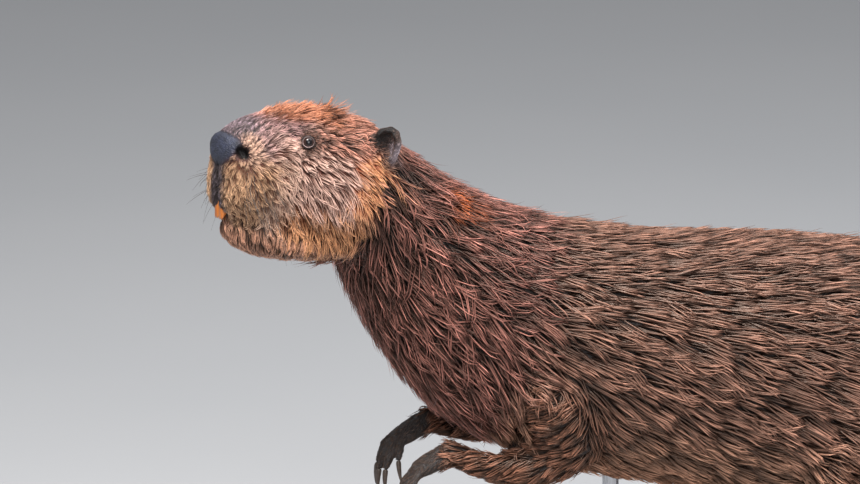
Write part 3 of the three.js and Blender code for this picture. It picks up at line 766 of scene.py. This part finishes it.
# ---------------------------------------------------------------- materials
class Surface:
    """A node material on the object's own coordinates."""

    def __init__(self, name, **values):
        self.material = bpy.data.materials.new(name)
        self.material.use_nodes = True
        self.tree = self.material.node_tree
        self.shader = self.tree.nodes["Principled BSDF"]
        for key, value in values.items():
            self.put(self.shader.inputs[key.replace("_", " ")], value)

    def put(self, socket, value):
        if isinstance(value, bpy.types.NodeSocket):
            self.tree.links.new(value, socket)
        else:
            socket.default_value = value

    def node(self, kind, inputs=(), **settings):
        made = self.tree.nodes.new(f"ShaderNode{kind}")
        for key, value in settings.items():
            setattr(made, key, value)
        for key, value in dict(inputs).items():
            self.put(made.inputs[key], value)
        return made

    def place(self, stretch):
        """Object coordinates, stretched."""
        where = self.node("TexCoord").outputs["Object"]
        return self.node("Mapping", {"Vector": where, "Scale": stretch}).outputs["Vector"]

    def noise(self, scale, detail=3, stretch=(1, 1, 1)):
        inputs = {"Vector": self.place(stretch), "Scale": scale, "Detail": detail}
        return self.node("TexNoise", inputs).outputs["Fac"]

    def cells(self, scale):
        inputs = {"Vector": self.place((1, 1, 1)), "Scale": scale}
        return self.node("TexVoronoi", inputs).outputs["Distance"]

    def attribute(self, name, output="Color"):
        return self.node("Attribute", attribute_name=name).outputs[output]

    def levels(self, share, low, high):
        """A 0 to 1 share turned into a grey between two levels."""
        inputs = {"Value": share, "To Min": low, "To Max": high}
        return self.node("MapRange", inputs).outputs["Result"]

    def mix(self, share, first, second, blend="MIX"):
        made = self.node("Mix", data_type="RGBA", blend_type=blend)
        for socket, value in ((0, share), (6, first), (7, second)):
            self.put(made.inputs[socket], value)
        return made.outputs[2]

    def tinted(self, shade):
        """The colours that the mesh carries, times a shade."""
        return self.mix(1.0, self.attribute("Coat"), shade, "MULTIPLY")

    def add(self, first, second, share=1.0):
        """first + second * share."""
        made = self.node("Math", operation="MULTIPLY_ADD")
        for socket, value in enumerate((second, share, first)):
            self.put(made.inputs[socket], value)
        return made.outputs[0]

    def bump(self, height, distance, strength=1.0):
        inputs = {"Height": height, "Distance": distance, "Strength": strength}
        self.put(self.shader.inputs["Normal"], self.node("Bump", inputs).outputs["Normal"])

    def paint(self, colour, roughness):
        self.put(self.shader.inputs["Base Color"], colour)
        self.put(self.shader.inputs["Roughness"], roughness)
        return self.material


def flat(colour):
    return (*linear(colour), 1.0)


def skin_material():
    """Dark leather on the bare parts, and a fine nap of short hairs elsewhere."""
    surface = Surface("beaver_skin")
    pebbles = surface.cells(900)
    mottle = surface.add(surface.levels(surface.noise(170, 5), -0.5, 2.3), pebbles, 0.35)
    colour = surface.tinted(mottle)
    bare = surface.attribute("Bare", "Fac")
    nap = surface.noise(2600, 2, (1, 0.35, 1))
    height = surface.mix(bare, nap, surface.add(pebbles, surface.noise(350, 4), 1.4))
    surface.bump(height, 0.9 * MM, 0.8)
    return surface.paint(colour, surface.levels(surface.noise(300), 0.4, 0.66))


def coat_material():
    """Wet fur: each tuft has its own tone, with finer streaks in it."""
    surface = Surface("beaver_coat", Coat_Weight=0.15, Coat_Roughness=0.22, Specular_Tint=WARM_TINT)
    streaks = surface.levels(surface.noise(900, 3, (1, 0.3, 1)), 0.78, 1.22)
    colour = surface.tinted(streaks)
    surface.bump(surface.noise(2400, 2, (1, 0.25, 1)), 0.2 * MM, 0.5)
    return surface.paint(colour, surface.levels(surface.noise(60), 0.34, 0.5))


def eye_material():
    surface = Surface("beaver_eye", Specular_IOR_Level=0.3, Coat_Weight=0.2, Coat_Roughness=0.02)
    fibres = surface.levels(surface.noise(1500, 3), 0.7, 1.3)
    colour = surface.tinted(fibres)
    return surface.paint(colour, surface.levels(surface.noise(700), 0.06, 0.14))


def two_toned(name, grain, dark, light, roughness, relief=None, **values):
    """A material between two colours along a noise. grain is the noise's scale, detail and stretch, roughness
    goes with it, and relief is a noise for the bump, its depth in mm and its strength."""
    surface = Surface(name, **values)
    share = surface.noise(*grain)
    colour = surface.mix(share, flat(dark), flat(light))
    if relief:
        noise, depth, strength = relief
        surface.bump(surface.noise(*noise), depth * MM, strength)
    return surface.paint(colour, surface.levels(share, *roughness))


def horn_material():
    grain, relief = (500, 4, (1, 0.2, 1)), ((900, 3, (1, 0.15, 1)), 0.15, 0.5)
    return two_toned("claw_horn", grain, (34, 29, 27), (88, 72, 61), (0.28, 0.5), relief)


def enamel_material():
    grain, relief = (260, 4, (1, 1, 0.25)), ((700, 3, (1, 1, 0.2)), 0.1, 0.4)
    gloss = {"Coat_Weight": 0.5, "Coat_Roughness": 0.12}
    return two_toned("tooth_enamel", grain, (150, 66, 20), (222, 138, 58), (0.2, 0.4), relief, **gloss)


def whisker_material():
    return two_toned("whisker_hair", (150, 2), (30, 24, 22), (92, 76, 66), (0.3, 0.45))


def steel_material():
    grain = (900, 3, (1, 1, 0.02))
    tones = (150, 152, 156), (206, 208, 212)
    return two_toned("brushed_steel", grain, *tones, (0.22, 0.42), (grain, 0.05, 0.3), Metallic=1.0)


def floor_material():
    return two_toned("studio_floor", (1.5, 3), (156, 158, 161), (163, 164, 166), (0.75, 0.85))


def scale_material():
    surface = Surface("tail_scale_horn")
    wear = surface.levels(surface.noise(420, 4), 0.65, 1.35)
    colour = surface.tinted(wear)
    surface.bump(surface.noise(1300, 4), 0.25 * MM, 0.5)
    return surface.paint(colour, surface.levels(surface.noise(90), 0.3, 0.55))


def board_material():
    """Oiled dark oak: long grain, pores and a few darker bands."""
    surface = Surface("board_oak")
    grain = surface.noise(18, 6, (6, 0.6, 6))
    pores = surface.noise(320, 3, (1, 0.06, 1))
    colour = surface.mix(grain, flat((92, 58, 36)), flat((168, 120, 80)))
    colour = surface.mix(surface.levels(pores, 0, 0.45), colour, flat((70, 44, 28)))
    surface.bump(pores, 0.3 * MM, 0.4)
    return surface.paint(colour, surface.levels(grain, 0.35, 0.55))


# ---------------------------------------------------------------- small pieces
def wear(obj, material, slot, *replaced):
    """Finishes a piece: its material, its body and the CAD nodes that it stands for; the slot is not used."""
    refinish(obj, material)
    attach(obj, "root")
    if replaced:
        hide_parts(*replaced)
    return obj


def ring_band(rings):
    """Points and triangles of a closed ring with a closed section: rings[i, j] is point j of section i."""
    around, outline = rings.shape[:2]
    i, j = np.meshgrid(np.arange(around), np.arange(outline), indexing="ij")
    a = i * outline + j
    b = i * outline + (j + 1) % outline
    c = (i + 1) % around * outline + (j + 1) % outline
    d = (i + 1) % around * outline + j
    faces = np.stack([np.stack([a, b, c], axis=-1), np.stack([a, c, d], axis=-1)], axis=2)
    return rings.reshape(-1, 3), faces.reshape(-1, 3)


def eye_axes(side):
    """Backward, upward and outward at an eye, so that the opening follows the side of the head."""
    outward = unit(LEFTWARD * SIDES[side] * 0.93 - BACKWARD * 0.28 + UPWARD * 0.24)
    backward = unit(BACKWARD - outward * (BACKWARD @ outward))
    return np.array([backward, unit(np.cross(outward, backward)) * SIDES[side], outward])


def eyelids(side):
    """Upper and lower lid in one ring, which lies on the eyeball round an almond-shaped opening."""
    turns = full_turn(72)
    length, height = EYE_OPENING
    opening = np.hypot(length * np.cos(turns), height * np.sin(turns) * (1 - 0.12 * np.cos(turns))) * MM
    edge = np.arcsin(opening / (EYE_RADIUS + 0.3 * MM))
    rings = []
    for further, above, _ in LID_SECTION:
        angle = edge + np.radians(further)
        radius = EYE_RADIUS + above * MM
        crease = 0.12 * MM * np.sin(turns * 9 + further) * (further > 12)
        spot = [np.sin(angle) * np.cos(turns), np.sin(angle) * np.sin(turns), np.cos(angle)]
        spot = np.stack(spot, axis=1)
        rings.append(centre(f"eye_{side}") + (spot * (radius + crease)[:, None]) @ eye_axes(side))
    rings = np.stack(rings, axis=1)
    return ring_band(rings if SIDES[side] > 0 else rings[::-1])


def eyeball(side):
    """The ball with its clearer bulge in front, dark brown round a black pupil."""
    mesh = bmesh.new()
    bmesh.ops.create_uvsphere(mesh, u_segments=40, v_segments=24, radius=EYE_RADIUS)
    data = bpy.data.meshes.new(f"eyeball_{side}")
    mesh.to_mesh(data)
    mesh.free()
    local = read_points(data)
    toward = unit(local)[:, 2]
    local *= (1 + 0.05 * smooth(toward, 0.72, 0.95))[:, None]
    places = centre(f"eye_{side}") + local @ eye_axes(side)
    data.vertices.foreach_set("co", places.astype(np.float32).ravel())
    if SIDES[side] < 0:
        data.flip_normals()
    data.shade_smooth()
    obj = link(f"eyeball_{side}", data)
    iris = smooth(toward, 0.86, 0.9)[:, None]
    add_colours(obj, linear((46, 29, 24)) * (1 - iris) + linear((12, 8, 9)) * iris)
    return obj


def rounded(name, nodes, growth):
    """One smooth piece from copies of small CAD nodes."""
    obj = shells(name, nodes, growth)
    modified(obj, "SUBSURF", levels=2, render_levels=2)
    obj.data.shade_smooth()
    return obj


def tube_faces(steps, sides):
    """Triangles of a closed tube of rings, with flat ends."""
    faces = []
    for step in range(steps - 1):
        for side in range(sides):
            a, b = step * sides + side, step * sides + (side + 1) % sides
            faces += [(a, b, b + sides), (a, b + sides, a + sides)]
    for side in range(1, sides - 1):
        faces.append((0, side + 1, side))
        faces.append(tuple((steps - 1) * sides + k for k in (0, side, side + 1)))
    return np.array(faces)


def tapered(paths, radii, sides=5):
    """Closed round hairs along paths: (hairs, steps, 3), with a radius at each step."""
    hairs, steps = paths.shape[:2]
    ahead = unit(np.gradient(paths, axis=1))
    across = unit(np.cross(ahead, [0.0, 0.0, 1.0]))
    above = np.cross(across, ahead)
    turns = full_turn(sides)
    round_it = across[:, :, None] * np.cos(turns)[:, None] + above[:, :, None] * np.sin(turns)[:, None]
    points = paths[:, :, None] + round_it * radii[:, None, None]
    return points.reshape(-1, 3), copies(tube_faces(steps, sides), hairs, steps * sides)


def chisel(node):
    """Rings of one incisor, from its cutting edge, which is where its CAD node's is, back into the jaw."""
    side, back, rise = (to_head(read_points(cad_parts[node].data)) / MM).T
    rootward, length = (1, UPPER_TOOTH) if "upper" in node else (-1, LOWER_TOOTH)
    edge = (rise * rootward).min()
    edge_back = back[rise * rootward < edge + 0.5].min()
    t = np.linspace(0, 1, 18)[:, None]
    turns = full_turn(28)
    squarish = [np.sign(wave) * abs(wave) ** 0.6 for wave in (np.cos(turns), np.sin(turns))]
    half_width = np.ptp(side) / 2 * (0.82 + 0.18 * smooth(t, 0, 0.14))
    half_thick = TOOTH_THICKNESS / 2 * (0.12 + 0.88 * smooth(t, 0, 0.32))
    across = (side.min() + side.max()) / 2 + half_width * squarish[0]
    behind = edge_back - TOOTH_BOW * np.sin(2.6 * t) + half_thick * (1 + squarish[1])
    upward = rootward * (edge + length * t) + 0 * across
    return NOSE_TIP + np.stack([across, behind, upward], axis=-1) * MM @ HEAD_AXES


def incisors(nodes):
    """The four front teeth in one piece."""
    rings = np.array([chisel(node) for node in nodes])
    count, steps, sides = rings.shape[:3]
    faces = copies(tube_faces(steps, sides), count, steps * sides)
    obj = polygons("incisors", rings.reshape(-1, 3), faces)
    mesh = bmesh.new()
    mesh.from_mesh(obj.data)
    bmesh.ops.recalc_face_normals(mesh, faces=mesh.faces)
    mesh.to_mesh(obj.data)
    mesh.free()
    return obj


def whiskers():
    """Stiff dark hairs in loose rows on both whisker pads, longest at the back, bent backwards and down."""
    paths = []
    t = np.linspace(0, 1, 12)[:, None]
    for way in SIDES.values():
        for number in range(WHISKERS):
            row, column = divmod(number, WHISKER_COLUMNS)
            back = 7 + 6 * column + rng.uniform(-2.5, 2.5)
            rise = -13 - 6.5 * row - 1.4 * column + rng.uniform(-2.5, 2.5)
            on_skin, up = skin.nearest([from_head(way * 40 * MM, back * MM, rise * MM)])
            length = (24 + 6 * column - 2 * row + rng.uniform(-8, 10)) * MM
            out = LEFTWARD * way * rng.uniform(0.4, 0.9) - UPWARD * rng.uniform(0.2, 0.9)
            out = unit(out - BACKWARD * rng.uniform(-0.15, 0.5) + up[0] * 0.5)
            bend = BACKWARD * rng.uniform(0, 0.45) - UPWARD * rng.uniform(0.05, 0.45)
            paths.append(on_skin - up * MM + length * (out * t + bend * t**2))
    points, faces = tapered(np.array(paths), np.linspace(0.26, 0.05, 12) * MM)
    return polygons("whiskers", points, faces)


# ---------------------------------------------------------------- tail scales
def scale_plate():
    """A six-sided plate that rises towards its free edge: lower then upper corners, and its triangles."""
    turns = np.radians(np.arange(6) * 60 + 30)
    outline = np.stack([np.cos(turns) * 0.56, np.sin(turns) * 0.6], axis=1)
    rise = 0.35 + 0.65 * (outline[:, 1] + 0.6) / 1.2
    lower = np.column_stack([outline, np.full(6, -0.8)])
    upper = np.column_stack([outline * 0.9, rise])
    crown = np.array([[0, 0.05, 1.05], [0, 0, -0.8]])
    faces = []
    for k in range(6):
        nxt = (k + 1) % 6
        faces += [(k, nxt, 6 + nxt), (k, 6 + nxt, 6 + k), (6 + k, 6 + nxt, 12), (nxt, k, 13)]
    return np.concatenate([lower, upper, crown]), np.array(faces)


def tail_outline(y):
    """Places round the tail at one distance along it, on the skin, with the normals there."""
    near = skin.points[part_of(skin.labels, "tail") & (abs(skin.points[:, 1] - y) < 2 * MM)]
    low, high = near.min(axis=0), near.max(axis=0)
    spots, normals = [], []
    for turn in np.linspace(0, 2 * math.pi, 181):
        outward = Vector(((high[0] - low[0]) * math.cos(turn), 0, (high[2] - low[2]) * math.sin(turn)))
        middle = Vector(((low[0] + high[0]) / 2, y, (low[2] + high[2]) / 2))
        spot, normal, _, _ = skin.tree.ray_cast(middle + outward, -outward, outward.length)
        if spot is not None:
            spots.append(spot)
            normals.append(normal)
    return np.array(spots), np.array(normals)


def tail_places():
    """Where the plates sit, in staggered rows round the tail, with the surface's direction there."""
    low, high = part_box("tail")
    places, normals = [], []
    for row, y in enumerate(np.arange(low[1] + 2 * MM, high[1] - 2 * MM, SCALE_LENGTH * 0.82)):
        spots, facing = tail_outline(y)
        along = np.concatenate([[0], np.cumsum(np.linalg.norm(np.diff(spots, axis=0), axis=1))])
        count = max(3, round(along[-1] / SCALE_WIDTH))
        wanted = (np.arange(count) + row % 2 / 2) * along[-1] / count
        for found, listed in ((spots, places), (facing, normals)):
            listed.append(np.stack([np.interp(wanted, along, column) for column in found.T], axis=1))
    return np.concatenate(places), unit(np.concatenate(normals))


def tail_scales():
    """The scaly skin of the paddle, each plate a little different."""
    places, normals = tail_places()
    count = len(places)
    backward = unit(np.array([0, 1.0, 0]) - normals * normals[:, 1:2])
    across = np.cross(backward, normals)
    size = rng.uniform(0.88, 1.1, (count, 3)) * (SCALE_WIDTH, SCALE_LENGTH, SCALE_HEIGHT)
    plate, faces = scale_plate()
    local = plate[None] * size[:, None]
    axes = np.stack([across, backward, normals], axis=1)
    points = places[:, None] + np.einsum("nij,njk->nik", local, axes)
    obj = polygons("tail_scales", points.reshape(-1, 3), copies(faces, count, len(plate)))
    tone = np.exp(rng.normal(0, 0.14, count) + 0.15 * waves(places, 0.06, 5))[:, None, None]
    # painted shade down each plate's sides into the crevices between plates, and a painted highlight on its
    # crown
    shade = np.where(np.arange(len(plate)) < 6, 0.6, 1.0)[None, :, None]
    shade = shade * np.where(np.arange(len(plate)) == 12, 1.25, 1.0)[None, :, None]
    colours = np.clip(linear((78, 72, 74)) * tone * shade, 0, 1)
    add_colours(obj, colours.reshape(-1, 3))
    middle = unwrapped(places, centre("tail"), np.array([0, 1.0, 0]))
    add_map(obj, (middle[:, None] + (plate[:, :2] + 0.6) / 1.2 * PATCH).reshape(-1, 2))
    return obj


# ---------------------------------------------------------------- stand
def collar(name, rod):
    """A turned steel collar where a rod leaves the board."""
    x, y, _ = centre(rod)
    board_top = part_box("stand_base")[1][2]
    turns = full_turn(64)
    rings = []
    for out, up in COLLAR:
        round_it = [x + out * MM * np.cos(turns), y + out * MM * np.sin(turns)]
        rings.append(np.stack([*round_it, 0 * turns + board_top + up * MM], axis=1))
    points, faces = ring_band(np.stack(rings, axis=1))
    obj = polygons(name, points, faces[:, ::-1])
    obj.data.shade_flat()
    return obj


# ---------------------------------------------------------------- studio
def looking(azimuth, elevation):
    """The direction from the subject to a camera or lamp. Azimuth 0 is in front of it, 90 at its left."""
    a, e = math.radians(azimuth), math.radians(elevation)
    return np.array([math.sin(a) * math.cos(e), -math.cos(a) * math.cos(e), math.sin(e)])


def point_at(obj, place, target):
    obj.location = Vector(place)
    obj.rotation_euler = Vector(np.array(target) - np.array(place)).to_track_quat("-Z", "Y").to_euler()


def add_camera():
    back = looking(VIEW_AZIMUTH, VIEW_ELEVATION)
    right = unit(np.cross([0, 0, 1.0], back))
    up = np.cross(back, right)
    target = centre("eye_left") - (right * EYE_IN_FRAME[0] + up * EYE_IN_FRAME[1]) * VIEW_WIDTH
    data = bpy.data.cameras.new("camera")
    data.sensor_width = SENSOR
    data.lens = SENSOR * VIEW_DISTANCE / VIEW_WIDTH
    camera = link("camera", data)
    point_at(camera, target + back * VIEW_DISTANCE, target)
    bpy.context.scene.camera = camera


def add_lamp(name, azimuth, elevation, distance, size, power, colour=(1, 1, 1), spread=180):
    data = bpy.data.lights.new(name, "AREA")
    data.size = size
    data.energy = power
    data.spread = math.radians(spread)
    data.color = colour
    middle = centre("trunk")
    point_at(link(name, data), middle + looking(azimuth, elevation) * distance, middle)


def add_studio():
    corners = FLOOR_HALF * np.array([(-1, -1, 0), (1, -1, 0), (1, 1, 0), (-1, 1, 0)])
    floor = polygons("studio_floor", corners, np.array([(0, 1, 2, 3)]))
    floor.data.materials.append(floor_material())
    world = bpy.data.worlds.new("studio")
    world.use_nodes = True
    background = world.node_tree.nodes["Background"].inputs
    background["Color"].default_value = (0.86, 0.87, 0.90, 1)
    background["Strength"].default_value = 0.5
    bpy.context.scene.world = world
    add_lamp("key", 58, 60, distance=2.4, size=0.9, power=96, colour=(1.0, 0.96, 0.92))
    add_lamp("sky", 170, 70, distance=2.2, size=2.0, power=34, colour=(0.92, 0.96, 1.0))
    add_lamp("fill", 95, 20, distance=3.2, size=1.6, power=11, spread=90)


# ---------------------------------------------------------------- assembly
def lid_colours(sections):
    """A thin paler edge, brightest in front and below, on dark lids."""
    turns = full_turn(sections)
    light = np.clip(0.5 - 0.15 * np.cos(turns) - 0.4 * np.sin(turns), 0, 1)
    rim = (light[:, None] * [pale for _, _, pale in LID_SECTION]).reshape(-1, 1)
    return linear((42, 29, 25)) * (1 - rim) + linear((156, 130, 128)) * rim


def skin_piece():
    """The skin with its lids, coloured as the coat's roots are, with painted shade that makes it nearly black
    in the nostrils.
    """
    points, faces = [skin.points], [skin.triangles]
    # painted shade: the skin turns nearly black inside the nostrils
    dark = 1 - 0.96 * np.exp(-((skin.from_nostril / NOSTRIL_EDGE) ** 8))
    colour = [skin.of_kind("root") * dark[:, None]]
    bare = [part_of(skin.labels, "nose", "forepaw", "hind_foot").astype(float)]
    start = len(skin.points)
    for side in SIDES:
        lid_points, lid_faces = eyelids(side)
        points.append(lid_points)
        faces.append(lid_faces + start)
        start += len(lid_points)
        colour.append(lid_colours(len(lid_points) // len(LID_SECTION)))
        bare.append(np.full(len(lid_points), LID_PEBBLES))
    obj = polygons("skin", np.concatenate(points), np.concatenate(faces))
    add_colours(obj, np.concatenate(colour))
    layer = obj.data.attributes.new("Bare", "FLOAT", "POINT")
    layer.data.foreach_set("value", np.concatenate(bare).astype(np.float32))
    return obj


skin = Skin()
wear(skin_piece(), skin_material(), "bare_skin", *FLESH)
fur = coat_material()
for piece in coat():
    wear(piece, fur, "coat")
wear(tail_scales(), scale_material(), "tail_scales")
wear(whiskers(), whisker_material(), "coat")

eye_glass, horn, enamel = eye_material(), horn_material(), enamel_material()
for side in SIDES:
    wear(eyeball(side), eye_glass, "eye", f"eye_{side}")
claws = [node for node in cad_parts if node.startswith("claw_")]
wear(rounded("claws", claws, 0.4 * MM), horn, "claw_horn", *claws)
teeth = [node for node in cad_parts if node.startswith("incisor_")]
wear(incisors(teeth), enamel, "tooth_enamel", *teeth)

oak, steel = board_material(), steel_material()
refinish(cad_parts["stand_base"], oak)
for end in ("front", "rear"):
    refinish(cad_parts[f"stand_rod_{end}"], steel)
    wear(collar(f"stand_collar_{end}", f"stand_rod_{end}"), steel, "stand_steel")

add_studio()
add_camera()
bpy.context.scene.view_settings.view_transform = "Standard"
